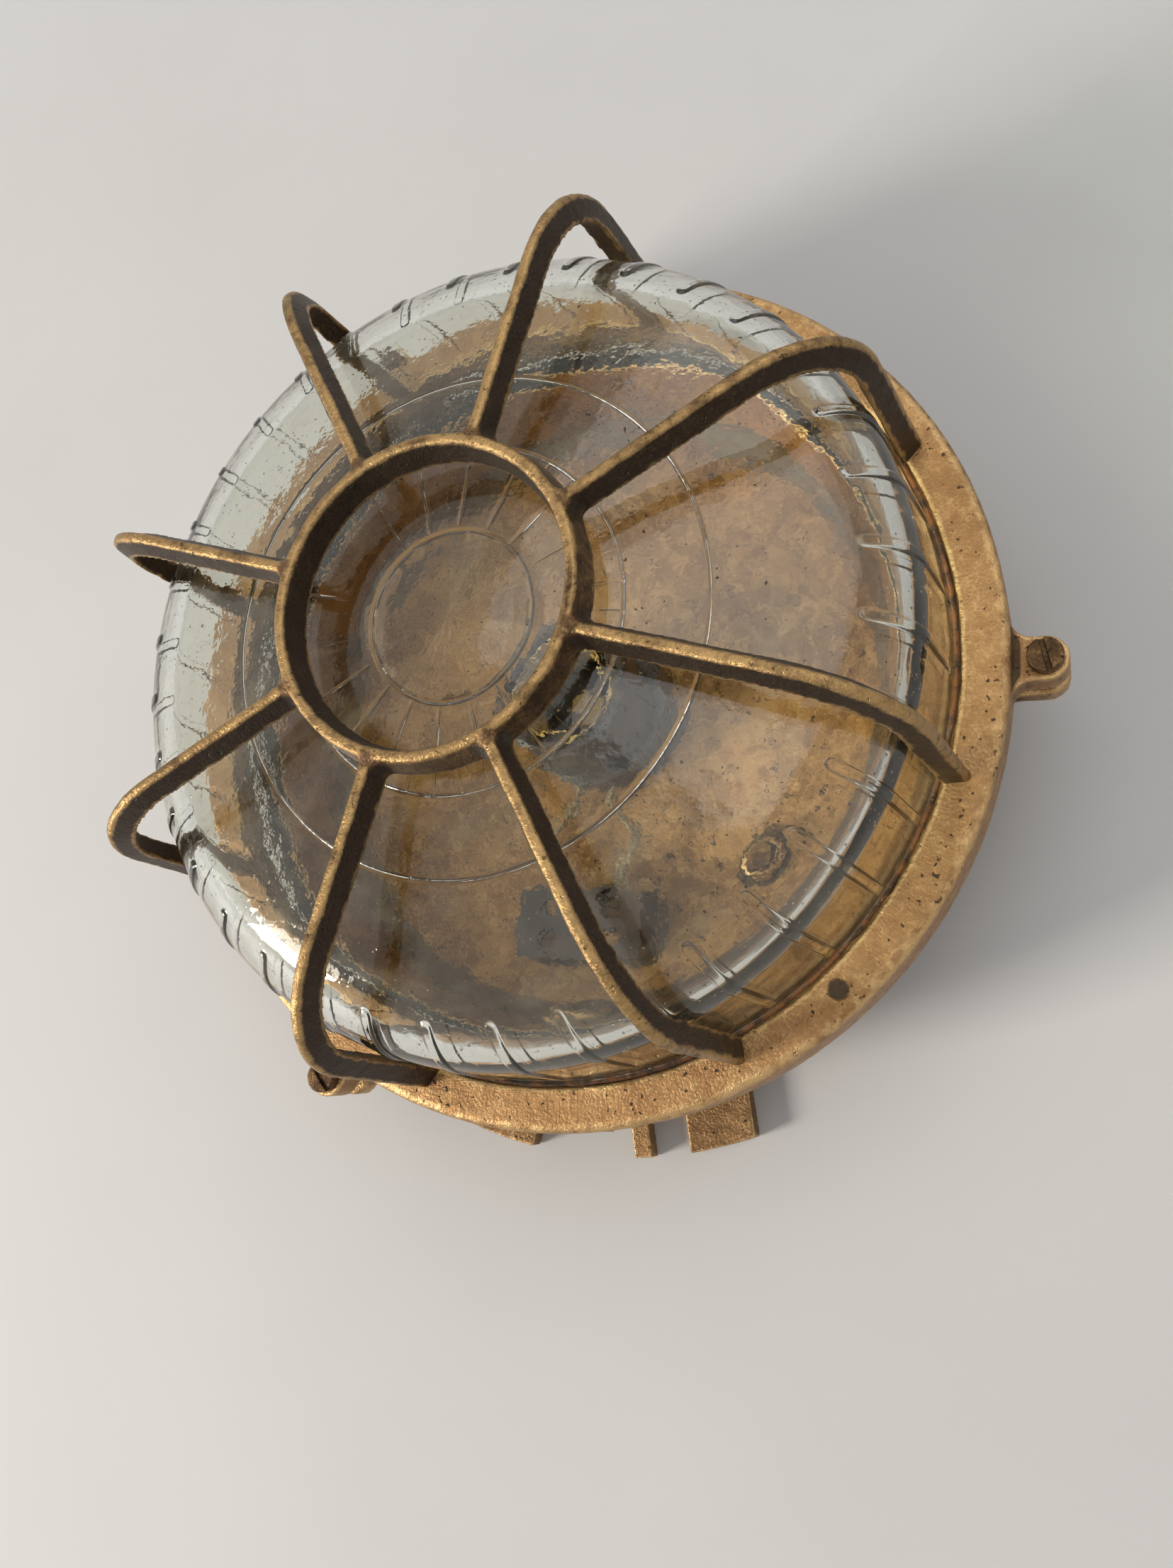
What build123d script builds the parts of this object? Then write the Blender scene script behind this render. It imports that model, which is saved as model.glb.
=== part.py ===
from build123d import *
import os
from math import cos, degrees, asin, radians, sin, sqrt, tan

# Round cast-brass wall light: a shallow base dish, a thick pressed glass dome, and a guard of
# eight ribs that clamps the glass with three screws. Millimetres and degrees.
# The origin is the middle of the back face, +Z points away from the wall and the cable enters at -Y.

# Guard rim: the flat ring that presses on the glass
rim_radius = 120.0
lip_width = 11.5
rim_top = 54.0
lip_thickness = 7.0
skirt_wall = 5.0
skirt_drop = 9.0
rim_edge_radius = 2.5
opening_edge_radius = 1.0

# Guard ribs and hub ring
rib_count = 8
first_rib_angle = 120.0
rib_base_width = 6.5
rib_ridge_width = 2.2
rib_depth = 6.0
rib_ridge_round = 0.9
rib_bend_radius = 29.0
rib_foot_margin = 0.1
rib_leg_lean = 5.4
rib_ridge_drop = 0.6
rib_root = 3.0
hub_radius = 36.7
guard_clearance = 3.0
hub_depth = 8.0
hub_ridge_width = 2.5
hub_base_width = 5.5
hub_ridge_round = 0.9
hub_blend_radius = 3.0

# Glass dome and its two gaskets
glass_wall = 6.0
glass_gap = 1.3
glass_side_lean = 5.5
glass_height = 61.0
glass_crown_radius = 360.0
glass_shoulder_radius = 25.0
glass_foot_clearance = 2.0
glass_foot_thickness = 6.0
glass_gasket_thickness = 2.0
glass_gasket_inset = 0.5
base_gasket_thickness = 3.0
base_gasket_width = 11.0

# Cover screws and the lugs that they join
screw_count = 3
first_screw_angle = 0.0
screw_overhang = 7.5
screw_radius = 2.5
screw_head_radius = 4.25
screw_head_height = 3.3
screw_head_round = 0.5
screw_slot_width = 1.3
screw_slot_depth = 1.4
screw_clearance = 0.08
lug_radius = 5.5
lug_blend_radius = 5.0
guard_lug_drop = 5.0
guard_lug_thickness = 9.0

# Base dish
base_rim_inset = 3.0
base_rim_thickness = 7.0
base_rim_overhang = 15.0
base_draft = 8.0
base_wall = 5.0
base_back_thickness = 5.0
base_corner_radius = 8.0

# Feet on the wall: a slotted foot and a plain pad, repeated on the opposite side
foot_count = 2
foot_length = 28.0
foot_thickness = 5.5
slot_angle = 281.0
slot_width = 11.6
slot_depth = 11.0
narrow_prong_width = 5.2
wide_prong_width = 19.3
pad_angle = 257.0
pad_width = 22.0

# Cable gland: a body screwed into a boss of the base wall, a seal, a washer and a hollow nut
gland_height = 16.0
gland_boss_radius = 11.0
gland_boss_inside = 3.0
gland_boss_proud = 0.5
gland_neck_radius = 7.0
gland_passage_radius = 5.5
gland_body_flats = 21.0
gland_floor = 1.2
gland_seat_radius = 8.0
gland_fit = 0.08
cable_radius = 4.75
gland_seal_length = 4.5
gland_washer_thickness = 1.0
gland_thread_length = 2.3
gland_nut_gap = 0.3
gland_nut_flats = 19.0
gland_nut_length = 5.5

# Lampholder, upright in the middle of the dish
holder_pad_height = 3.0
holder_pad_radius = 6.5
holder_foot_radius = 23.0
holder_foot_thickness = 12.0
holder_sleeve_radius = 19.5
holder_sleeve_wall = 3.5
holder_sleeve_height = 26.0
holder_edge_radius = 1.5
holder_screw_spacing = 32.0
holder_screw_radius = 2.0
holder_screw_head_radius = 3.5
holder_screw_head_height = 2.4
holder_screw_depth = 6.0
shell_inner_radius = 13.5
shell_wall = 0.8
shell_height = 25.0
shell_clearance = 0.2
contact_width = 6.0
contact_thickness = 0.8
contact_rise = 6.0
contact_foot_length = 6.0
contact_reach = 3.0

# Terminal block, its screws and the two leads to the lampholder
terminal_distance = 64.0
terminal_length = 38.0
terminal_width = 20.0
terminal_thickness = 14.0
terminal_pad_height = 3.0
terminal_edge_radius = 1.5
terminal_spacing = 18.0
terminal_well_spacing = 10.0
terminal_well_radius = 3.2
terminal_well_depth = 5.0
terminal_screw_radius = 2.6
terminal_screw_height = 3.5
terminal_entry_radius = 1.8
terminal_entry_depth = 4.0
terminal_fixing_radius = 2.0
terminal_fixing_head_radius = 3.2
terminal_fixing_head_height = 2.2
terminal_fixing_depth = 5.0
lead_radius = 1.2
lead_clearance = 0.15
lead_height = 15.0
lead_holder_spacing = 12.0
lead_side_bow = 6.0
lead_bend_radius = 8.0

# Earth screw on its own boss
earth_x = 52.0
earth_y = -44.0
earth_boss_radius = 7.0
earth_boss_height = 6.0
earth_screw_radius = 2.5
earth_screw_depth = 7.0
earth_head_radius = 4.5
earth_head_height = 3.0
earth_washer_radius = 5.5
earth_washer_thickness = 1.0

# Radii that follow from the guard rim
opening_radius = rim_radius - lip_width
skirt_inner_radius = rim_radius - skirt_wall
rib_foot_radius = opening_radius + rib_depth + rib_foot_margin
glass_side_radius = opening_radius - glass_gap
glass_foot_radius = skirt_inner_radius - glass_foot_clearance
screw_circle_radius = rim_radius + screw_overhang
base_rim_radius = rim_radius - base_rim_inset
base_back_radius = base_rim_radius - base_rim_overhang
foot_radius = base_back_radius + foot_length
slot_centre_radius = foot_radius - slot_depth

# Levels of the clamped stack, from the guard down to the base
lip_under = rim_top - lip_thickness
skirt_bottom = lip_under - skirt_drop
glass_foot_top = lip_under - glass_gasket_thickness
glass_foot_bottom = glass_foot_top - glass_foot_thickness
base_top = glass_foot_bottom - base_gasket_thickness
base_rim_under = base_top - base_rim_thickness
guard_lug_top = rim_top - guard_lug_drop
guard_lug_bottom = guard_lug_top - guard_lug_thickness
hub_top = rim_top + glass_height + guard_clearance + hub_depth
ridge_top = hub_top - rib_ridge_drop
base_flare = base_rim_under * tan(radians(base_draft))
gland_boss_inner_end = base_back_radius - base_wall - gland_boss_inside
gland_boss_outer_end = base_back_radius + base_flare + gland_boss_proud
gland_seal_start = gland_boss_outer_end + gland_floor
gland_washer_start = gland_seal_start + gland_seal_length
gland_nut_start = gland_washer_start + gland_washer_thickness
gland_body_end = gland_nut_start + gland_thread_length
rib_angles = [first_rib_angle - 360.0 / rib_count * i for i in range(rib_count)]
screw_angles = [first_screw_angle + 360.0 / screw_count * i for i in range(screw_count)]

BOTTOM = (Align.CENTER, Align.CENTER, Align.MIN)


def post(radius, height, x=0.0, y=0.0, z=0.0):
    """Upright cylinder standing at x, y with its foot at z."""
    return Pos(x, y, z) * Cylinder(radius, height, align=BOTTOM)


def collar(outer, inner, height, z=0.0):
    """Plain upright ring."""
    return post(outer, height, z=z) - post(inner, height, z=z)


def at_angle(radius, angle):
    """X and Y of a point at a radius and angle round the lamp's axis."""
    return radius * cos(radians(angle)), radius * sin(radians(angle))


def turned(points):
    """Solid of revolution about Z from an outline of (radius, height) points."""
    return revolve(Plane.XZ * make_face(Polyline(*points, close=True)), Axis.Z)


def slotted_screw(radius, length, head_radius, head_height, slot_width, slot_depth, edge=0.0):
    """Screw standing head up, with the head's underside at z = 0."""
    head = post(head_radius, head_height)
    if edge > 0:
        head = fillet(head.edges().group_by(Axis.Z)[-1], edge)
    slot = Pos(0, 0, head_height - slot_depth) * Box(3 * head_radius, slot_width, 2 * slot_depth, align=BOTTOM)
    return head + post(radius, length, z=-length) - slot


def lug_outline(disc_radius, core_radius):
    """Flat ring with a rounded ear at each cover screw, blended into its rim."""
    shape = Circle(disc_radius)
    for angle in screw_angles:
        ear = Pos(screw_circle_radius, 0) * Circle(lug_radius)
        neck = Rectangle(screw_circle_radius, 2 * lug_radius, align=(Align.MIN, Align.CENTER))
        shape += Rot(0, 0, angle) * (ear + neck)
    half_angle = degrees(asin(lug_radius / disc_radius))
    corners = []
    for angle in screw_angles:
        for side in (-half_angle, half_angle):
            x, y = at_angle(disc_radius, angle + side)
            corners.append(shape.vertices().sort_by_distance((x, y, 0))[0])
    return fillet(corners, lug_blend_radius) - Circle(core_radius)


def screw_holes(bottom, height):
    """Holes for the cover screws, with running clearance."""
    holes = [post(screw_radius + screw_clearance, height, *at_angle(screw_circle_radius, a), bottom)
             for a in screw_angles]
    return Compound(holes)


def guard_rim():
    """Ring with an inner lip over the glass, an outer skirt and three lugs."""
    outline = make_face(Polyline(
        (opening_radius, lip_under), (opening_radius, rim_top), (rim_radius, rim_top),
        (rim_radius, skirt_bottom), (skirt_inner_radius, skirt_bottom),
        (skirt_inner_radius, lip_under), close=True))
    outer_edge = outline.vertices().sort_by_distance((rim_radius, rim_top, 0))[0]
    outline = fillet(outer_edge, rim_edge_radius)
    inner_edge = outline.vertices().sort_by_distance((opening_radius, rim_top, 0))[0]
    outline = fillet(inner_edge, opening_edge_radius)
    ring = revolve(Plane.XZ * outline, Axis.Z)
    lugs = extrude(lug_outline(rim_radius, skirt_inner_radius), guard_lug_thickness)
    ring += Pos(0, 0, guard_lug_bottom) * lugs
    return ring - screw_holes(guard_lug_bottom, guard_lug_thickness)


def hub_ring():
    """Ring in the middle of the guard, narrow at its ridge and wide below."""
    low = hub_top - hub_depth
    outline = make_face(Polyline(
        (hub_radius - hub_base_width / 2, low), (hub_radius + hub_base_width / 2, low),
        (hub_radius + hub_ridge_width / 2, hub_top), (hub_radius - hub_ridge_width / 2, hub_top),
        close=True))
    outline = fillet(outline.vertices().group_by(Axis.Y)[-1], hub_ridge_round)
    return revolve(Plane.XZ * outline, Axis.Z)


def guard_rib():
    """Rib that leaves the hub level, bends and runs down into the rim."""
    drop = ridge_top - rim_top
    bend_r = rib_foot_radius - drop * tan(radians(rib_leg_lean))
    foot_r = rib_foot_radius + rib_root * tan(radians(rib_leg_lean))
    path = FilletPolyline((hub_radius, 0, ridge_top), (bend_r, 0, ridge_top),
                          (foot_r, 0, rim_top - rib_root), radius=rib_bend_radius)
    section = make_face(Polyline(
        (-rib_base_width / 2, -rib_depth), (rib_base_width / 2, -rib_depth),
        (rib_ridge_width / 2, 0), (-rib_ridge_width / 2, 0), close=True))
    section = fillet(section.vertices().group_by(Axis.Y)[-1], rib_ridge_round)
    start = Plane(origin=(hub_radius, 0, ridge_top), x_dir=(0, 1, 0), z_dir=(1, 0, 0))
    return sweep(start * section, path)


def guard_casting():
    """The whole guard in one casting: rim, ribs and hub, with the ribs' flanks blended into the hub."""
    hub = hub_ring()
    rib = guard_rib()
    ribs = [Rot(0, 0, angle) * rib for angle in rib_angles]
    cage = hub + ribs
    flanks = [edge for edge in new_edges(hub, *ribs, combined=cage)
              if edge.bounding_box().size.Z > rib_depth / 2]
    return guard_rim() + fillet(flanks, hub_blend_radius)


def dome(inset):
    """Solid dome under the glass surface, set in by a wall thickness."""
    lean = tan(radians(glass_side_lean))
    foot_r = glass_side_radius - inset + lean * (rim_top - glass_foot_bottom)
    crown_top = rim_top + glass_height - inset
    crown_r = glass_crown_radius - inset
    crown_mid = crown_top - crown_r
    a = lean * lean + 1
    b = -2 * (lean * (foot_r + lean * glass_foot_bottom) + crown_mid)
    c = (foot_r + lean * glass_foot_bottom) ** 2 + crown_mid ** 2 - crown_r ** 2
    shoulder_z = (-b + sqrt(b * b - 4 * a * c)) / (2 * a)
    shoulder_r = foot_r - lean * (shoulder_z - glass_foot_bottom)
    walls = Polyline((0, crown_top), (0, glass_foot_bottom), (foot_r, glass_foot_bottom),
                     (shoulder_r, shoulder_z))
    crown = RadiusArc((shoulder_r, shoulder_z), (0, crown_top), -crown_r)
    outline = make_face([walls, crown])
    corner = outline.vertices().sort_by_distance((shoulder_r, shoulder_z, 0))[0]
    outline = fillet(corner, glass_shoulder_radius - inset)
    return revolve(Plane.XZ * outline, Axis.Z)


def glass_dome():
    """Pressed glass: a shell with a thick foot that the guard holds down."""
    foot = post(glass_foot_radius, glass_foot_thickness, z=glass_foot_bottom)
    return dome(0) + foot - dome(glass_wall)


def glass_gasket():
    """Flat ring between the glass foot and the guard's lip."""
    return collar(glass_foot_radius, opening_radius + glass_gasket_inset,
                  glass_gasket_thickness, glass_foot_top)


def base_gasket():
    """Flat ring between the base and the glass foot."""
    return collar(glass_foot_radius, glass_foot_radius - base_gasket_width,
                  base_gasket_thickness, base_top)


def cover_screw(angle):
    """Slotted screw that hangs in a guard lug and reaches through the base lug."""
    screw = slotted_screw(screw_radius, guard_lug_top - base_rim_under, screw_head_radius,
                          screw_head_height, screw_slot_width, screw_slot_depth, screw_head_round)
    x, y = at_angle(screw_circle_radius, angle)
    return Pos(x, y, guard_lug_top) * Rot(0, 0, angle + 90) * screw


def arc_block(width, angle):
    """Flat block on the foot circle, with straight sides and a round outer end."""
    block = Rectangle(foot_radius, width, align=(Align.MIN, Align.CENTER)) & Circle(foot_radius)
    return Rot(0, 0, angle) * (block - Circle(base_back_radius - base_wall))


def foot(turn):
    """A slotted foot and the plain pad beside it, before they join the dish."""
    prongs = narrow_prong_width + slot_width + wide_prong_width
    shift = (wide_prong_width - narrow_prong_width) / 2
    inner = base_back_radius - base_wall
    block = Rectangle(foot_radius, prongs, align=(Align.MIN, Align.CENTER))
    block = Pos(0, shift) * block & Circle(foot_radius)
    slot = Pos(slot_centre_radius, 0) * Circle(slot_width / 2)
    slot += Pos(slot_centre_radius, 0) * Rectangle(
        2 * foot_radius, slot_width, align=(Align.MIN, Align.CENTER))
    slotted = Rot(0, 0, slot_angle) * (block - slot - Circle(inner))
    return Rot(0, 0, turn) * extrude(slotted + arc_block(pad_width, pad_angle), foot_thickness)


def along_gland(piece, distance):
    """Turn a piece that stands on +Z to lie along the gland, its foot at a distance from the axis."""
    return Pos(0, -distance, gland_height) * Rot(90, 0, 0) * piece


def base_casting():
    """Dish with a clamping rim, three tapped lugs, feet, bosses and the gland's housing."""
    inner_flare = (base_top - base_back_thickness) * tan(radians(base_draft))
    inner_foot = base_back_radius - base_wall
    dish = turned([
        (0, 0), (base_back_radius, 0), (base_back_radius + base_flare, base_rim_under),
        (base_rim_radius, base_rim_under), (base_rim_radius, base_top),
        (inner_foot + inner_flare, base_top), (inner_foot, base_back_thickness),
        (0, base_back_thickness)])
    corner = dish.edges().filter_by(GeomType.CIRCLE)
    corner = [e for e in corner if abs(e.radius - inner_foot) < 0.01
              and abs(e.center().Z - base_back_thickness) < 0.01]
    dish = fillet(corner, base_corner_radius)
    lugs = extrude(lug_outline(base_rim_radius, base_rim_radius - base_wall), base_rim_thickness)
    dish += Pos(0, 0, base_rim_under) * lugs
    for i in range(foot_count):
        dish += foot(360.0 / foot_count * i) - post(base_back_radius - base_wall, foot_thickness)
    boss_length = gland_boss_outer_end - gland_boss_inner_end
    dish += along_gland(post(gland_boss_radius, boss_length), gland_boss_inner_end)
    dish -= along_gland(post(gland_neck_radius + gland_fit, boss_length), gland_boss_inner_end)
    for side in (-1, 1):
        x = side * holder_screw_spacing / 2
        dish += post(holder_pad_radius, holder_pad_height, x, 0, base_back_thickness)
        dish -= post(holder_screw_radius, holder_screw_depth, x, 0, holder_bottom() - holder_screw_depth)
    pad = Box(terminal_length, terminal_width, terminal_pad_height, align=BOTTOM)
    dish += Pos(0, -terminal_distance, base_back_thickness) * pad
    dish -= post(terminal_fixing_radius, terminal_fixing_depth, 0, -terminal_distance,
                 terminal_bottom() - terminal_fixing_depth)
    dish += post(earth_boss_radius, earth_boss_height, earth_x, earth_y, base_back_thickness)
    dish -= post(earth_screw_radius, earth_screw_depth, earth_x, earth_y, earth_top() - earth_screw_depth)
    return dish - screw_holes(base_rim_under, base_rim_thickness)


def hexagon(flats, length):
    """Six-sided bar standing on z = 0, sized across its flats."""
    return extrude(RegularPolygon(flats / 2, 6, major_radius=False), length)


def gland_body():
    """Neck through the boss and a six-sided collar that holds the seal."""
    neck = gland_boss_outer_end - gland_boss_inner_end
    body = post(gland_neck_radius, neck)
    body += Pos(0, 0, neck) * hexagon(gland_body_flats, gland_body_end - gland_boss_outer_end)
    body -= post(gland_passage_radius, neck + gland_floor)
    body -= post(gland_seat_radius, gland_body_end, z=neck + gland_floor)
    return along_gland(body, gland_boss_inner_end)


def gland_seal():
    """Rubber ring that grips the cable."""
    return along_gland(collar(gland_seat_radius - gland_fit, cable_radius, gland_seal_length), gland_seal_start)


def gland_washer():
    """Brass washer between the seal and the nut."""
    washer = collar(gland_seat_radius - gland_fit, gland_passage_radius, gland_washer_thickness)
    return along_gland(washer, gland_washer_start)


def gland_nut():
    """Hollow six-sided screw that closes the body and presses on the seal."""
    reach = gland_thread_length + gland_nut_gap
    nut = Pos(0, 0, reach) * hexagon(gland_nut_flats, gland_nut_length)
    nut += post(gland_seat_radius - gland_fit, reach)
    nut -= post(gland_passage_radius, reach + gland_nut_length)
    return along_gland(nut, gland_nut_start)


def holder_bottom():
    """Level of the lampholder's foot."""
    return base_back_thickness + holder_pad_height


def holder_floor():
    """Level of the floor inside the lampholder."""
    return holder_bottom() + holder_foot_thickness


def lead_points(side):
    """Corners of a lead's route from the terminal block to the lampholder."""
    near = -terminal_distance + terminal_width / 2
    start = near - terminal_entry_depth
    end = -holder_foot_radius + terminal_entry_depth
    gap = -holder_foot_radius - near
    x_start = side * terminal_spacing / 2
    x_end = side * lead_holder_spacing / 2
    bow = side * lead_side_bow
    return [(x_start, start, lead_height), (x_start, near + gap / 6, lead_height),
            (x_start + bow, near + gap / 2, lead_height),
            (x_end, near + 5 * gap / 6, lead_height), (x_end, end, lead_height)]


def lampholder():
    """Moulded body: a round foot with a sleeve round the lamp's screw shell."""
    body = post(holder_foot_radius, holder_foot_thickness, z=holder_bottom())
    body = fillet(body.edges().group_by(Axis.Z)[-1], holder_edge_radius)
    sleeve_inner = holder_sleeve_radius - holder_sleeve_wall
    sleeve = collar(holder_sleeve_radius, sleeve_inner, holder_sleeve_height, holder_floor())
    body += fillet(sleeve.edges().group_by(Axis.Z)[-1], holder_edge_radius)
    for side in (-1, 1):
        x = side * holder_screw_spacing / 2
        sink = holder_floor() - holder_screw_head_height
        body -= post(holder_screw_radius + screw_clearance, holder_foot_thickness, x, 0, holder_bottom())
        body -= post(holder_screw_head_radius + screw_clearance, holder_sleeve_height * 2, x, 0, sink)
        x = side * lead_holder_spacing / 2
        hole = Pos(x, -holder_foot_radius + terminal_entry_depth, lead_height) * Rot(90, 0, 0)
        body -= hole * post(lead_radius + lead_clearance, holder_foot_radius)
    return body


def lamp_shell():
    """Brass shell that takes the lamp's cap, seated by its turned-out foot."""
    outer = shell_inner_radius + shell_wall
    reach = holder_sleeve_radius - holder_sleeve_wall - shell_clearance
    shell = collar(outer, shell_inner_radius, shell_height, holder_floor())
    shell += collar(reach, shell_inner_radius, shell_wall, holder_floor())
    for side in (-1, 1):
        gap = post(holder_screw_head_radius + 2 * screw_clearance, 3 * shell_wall,
                   side * holder_screw_spacing / 2, 0, holder_floor() - shell_wall)
        shell -= gap
    return shell


def centre_contact():
    """Springy strip that touches the tip of the lamp's cap."""
    low = holder_floor()
    foot_end = -contact_reach - contact_rise / 2
    strip = make_face(Polyline(
        (foot_end - contact_foot_length, low), (foot_end, low),
        (-contact_reach, low + contact_rise - contact_thickness),
        (contact_reach, low + contact_rise - contact_thickness),
        (contact_reach, low + contact_rise), (-contact_reach - contact_thickness / 2, low + contact_rise),
        (foot_end - contact_thickness / 2, low + contact_thickness),
        (foot_end - contact_foot_length, low + contact_thickness), close=True))
    return Rot(0, 0, 90) * extrude(Plane.XZ * strip, contact_width / 2, both=True)


def holder_screws():
    """Two screws that hold the lampholder on its pads."""
    head_z = holder_floor() - holder_screw_head_height
    length = head_z - holder_bottom() + holder_screw_depth - screw_clearance
    screw = slotted_screw(holder_screw_radius, length, holder_screw_head_radius,
                          holder_screw_head_height, screw_slot_width, screw_slot_depth)
    return Compound([Pos(side * holder_screw_spacing / 2, 0, head_z) * screw for side in (-1, 1)])


def terminal_bottom():
    """Level of the terminal block's underside."""
    return base_back_thickness + terminal_pad_height


def terminal_top():
    """Level of the terminal block's upper face."""
    return terminal_bottom() + terminal_thickness


def terminal_wells():
    """Centres of the terminal screws."""
    return [(i * terminal_spacing / 2, -terminal_distance + j * terminal_well_spacing / 2)
            for i in (-1, 1) for j in (-1, 1)]


def terminal_block():
    """Moulded two-way block with screw wells and lead entries."""
    block = Box(terminal_length, terminal_width, terminal_thickness, align=BOTTOM)
    block = fillet(block.edges().filter_by(Axis.Z), terminal_edge_radius)
    block = Pos(0, -terminal_distance, terminal_bottom()) * block
    for x, y in terminal_wells():
        block -= post(terminal_well_radius, terminal_well_depth, x, y, terminal_top() - terminal_well_depth)
    for side in (-1, 1):
        x = side * terminal_spacing / 2
        mouth = -terminal_distance + terminal_width / 2
        hole = Pos(x, mouth, lead_height) * Rot(90, 0, 0)
        block -= hole * post(lead_radius + lead_clearance, terminal_entry_depth)
        cable_side = Pos(x, mouth - terminal_width + terminal_entry_depth, lead_height) * Rot(90, 0, 0)
        block -= cable_side * post(terminal_entry_radius, terminal_entry_depth)
    sink = terminal_top() - terminal_fixing_head_height
    block -= post(terminal_fixing_radius + screw_clearance, terminal_thickness,
                  0, -terminal_distance, terminal_bottom())
    return block - post(terminal_fixing_head_radius + screw_clearance, terminal_thickness,
                        0, -terminal_distance, sink)


def terminal_screws():
    """Four slotted clamping screws, each on the floor of its well."""
    screws = []
    for x, y in terminal_wells():
        head = post(terminal_screw_radius, terminal_screw_height)
        slot = Pos(0, 0, terminal_screw_height) * Box(
            3 * terminal_screw_radius, screw_slot_width, 2 * screw_slot_depth)
        screws.append(Pos(x, y, terminal_top() - terminal_well_depth) * (head - slot))
    return Compound(screws)


def terminal_fixing():
    """Screw that holds the terminal block on its pad."""
    head_z = terminal_top() - terminal_fixing_head_height
    length = head_z - terminal_bottom() + terminal_fixing_depth - screw_clearance
    screw = slotted_screw(terminal_fixing_radius, length, terminal_fixing_head_radius,
                          terminal_fixing_head_height, screw_slot_width, screw_slot_depth)
    return Pos(0, -terminal_distance, head_z) * screw


def lead(side):
    """Insulated lead held between the terminal block and the lampholder."""
    points = lead_points(side)
    path = FilletPolyline(*points, radius=lead_bend_radius)
    start = Plane(origin=points[0], z_dir=(0, 1, 0))
    return sweep(start * Circle(lead_radius), path)


def earth_top():
    """Level of the earth boss."""
    return base_back_thickness + earth_boss_height


def earth_washer():
    """Washer under the earth screw."""
    washer = collar(earth_washer_radius, earth_screw_radius + screw_clearance, earth_washer_thickness)
    return Pos(earth_x, earth_y, earth_top()) * washer


def earth_screw():
    """Screw for the earth wire."""
    length = earth_washer_thickness + earth_screw_depth - screw_clearance
    screw = slotted_screw(earth_screw_radius, length, earth_head_radius, earth_head_height,
                          screw_slot_width, screw_slot_depth)
    return Pos(earth_x, earth_y, earth_top() + earth_washer_thickness) * screw


def all_parts():
    """Every sub-part by its node name."""
    parts = {
        "base_casting": base_casting(),
        "base_gasket": base_gasket(),
        "glass_dome": glass_dome(),
        "glass_gasket": glass_gasket(),
        "guard_casting": guard_casting(),
        "gland_body": gland_body(),
        "gland_seal": gland_seal(),
        "gland_washer": gland_washer(),
        "gland_nut": gland_nut(),
        "lampholder": lampholder(),
        "lamp_shell": lamp_shell(),
        "centre_contact": centre_contact(),
        "holder_screws": holder_screws(),
        "terminal_block": terminal_block(),
        "terminal_screws": terminal_screws(),
        "terminal_fixing": terminal_fixing(),
        "live_lead": lead(-1),
        "neutral_lead": lead(1),
        "earth_washer": earth_washer(),
        "earth_screw": earth_screw(),
    }
    for number, angle in enumerate(screw_angles, 1):
        parts[f"cover_screw_{number}"] = cover_screw(angle)
    return parts


os.makedirs("parts", exist_ok=True)
for name, solid in all_parts().items():
    export_step(solid, f"parts/{name}.step")
    print(name, round(solid.volume), "mm3")
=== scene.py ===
# %% [markdown]
# # A cast-brass bulkhead light
#
# The object is a round wall light for wet places: a brass base, a thick pressed-glass dome, and
# over it a guard of eight ribs, cast in one piece with its rim. It lies on its back, with its wall
# side on the floor.
#
# The CAD model already has every piece at its true size. This script gives the pieces the skin of
# the real thing: sand-cast metal with rubbed edges, wavy glass with pressed-in marks, old putty.
# Lengths are written in millimetres and turned into Blender's metres with `MM`.

from math import cos, pi, radians, sin, sqrt, tan

import bmesh
import bpy
import numpy as np
from mathutils import Matrix, Vector, noise
from mathutils.bvhtree import BVHTree


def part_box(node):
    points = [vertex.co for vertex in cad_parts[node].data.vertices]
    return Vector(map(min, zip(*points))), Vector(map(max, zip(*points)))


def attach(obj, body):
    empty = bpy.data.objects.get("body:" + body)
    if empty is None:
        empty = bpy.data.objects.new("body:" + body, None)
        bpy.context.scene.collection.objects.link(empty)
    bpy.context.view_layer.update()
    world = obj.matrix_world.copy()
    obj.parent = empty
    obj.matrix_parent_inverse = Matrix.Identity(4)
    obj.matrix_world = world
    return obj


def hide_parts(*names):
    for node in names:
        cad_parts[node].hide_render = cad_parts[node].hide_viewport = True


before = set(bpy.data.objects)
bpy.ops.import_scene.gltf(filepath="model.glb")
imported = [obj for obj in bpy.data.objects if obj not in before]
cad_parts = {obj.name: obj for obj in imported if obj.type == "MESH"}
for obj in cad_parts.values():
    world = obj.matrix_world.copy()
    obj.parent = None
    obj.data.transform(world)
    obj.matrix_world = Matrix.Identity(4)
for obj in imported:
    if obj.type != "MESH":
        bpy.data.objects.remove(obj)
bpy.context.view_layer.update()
MM = 0.001
scene = bpy.context.scene

# %% [markdown]
# ## The camera
#
# The picture was taken from above, with the phone held at an angle, so the light is seen from its
# lower right and a little turned. A camera is a position and three directions: what is to its
# right, what is up in the picture, and what is behind it. Those three directions are the columns
# of its rotation matrix.

# %% Place the camera
EYE = Vector((134.4, -87.9, 344.8)) * MM
RIGHT = (0.925172, 0.051899, -0.375982)
UP = (0.021784, 0.981713, 0.189115)
BACK = (0.378922, -0.183154, 0.907123)

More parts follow.
